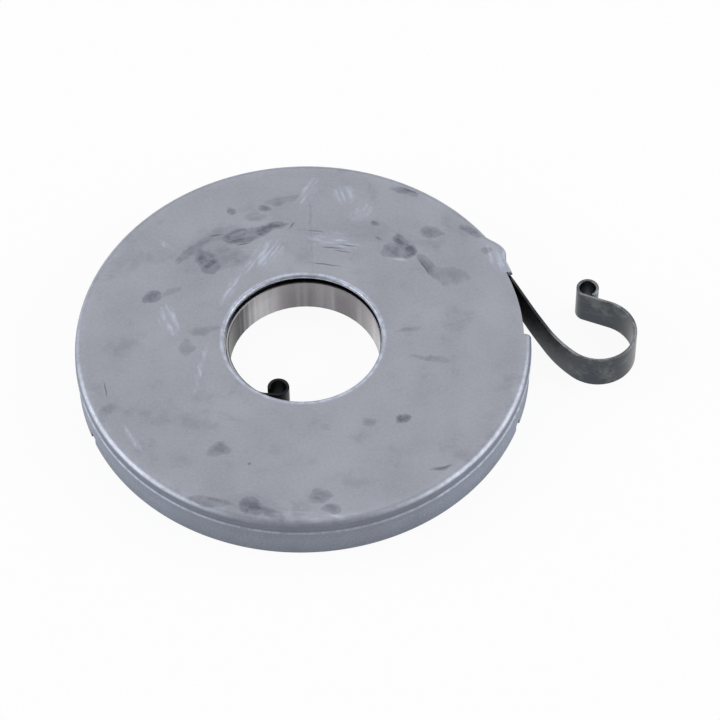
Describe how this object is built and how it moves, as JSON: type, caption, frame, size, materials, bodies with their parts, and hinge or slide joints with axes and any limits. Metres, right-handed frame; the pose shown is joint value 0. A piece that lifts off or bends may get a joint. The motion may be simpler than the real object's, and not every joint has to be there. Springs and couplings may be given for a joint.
{
  "type": "spiral power spring",
  "caption": "Flat spiral power spring wound in a shallow round pressed steel case, with an outer hook and rolled eyes at both ends.",
  "frame": {"origin": "on the case axis, in the plane of the case's open rim, which the part stands on", "axes": "+Z along the case axis towards the closed cover; +X towards the side where the outer hook leaves the case; +Y completes the frame"},
  "size_m": [0.1111, 0.0902, 0.0094],
  "materials": {
    "zinc_sheet": "dull galvanised sheet steel, handled and smudged",
    "spring_steel": "tempered spring strip, bright in the coil and blue-black at the ends"
  },
  "bodies": {
    "root": {"spring_case": "zinc_sheet", "power_spring": "spring_steel"}
  },
  "joints": []
}
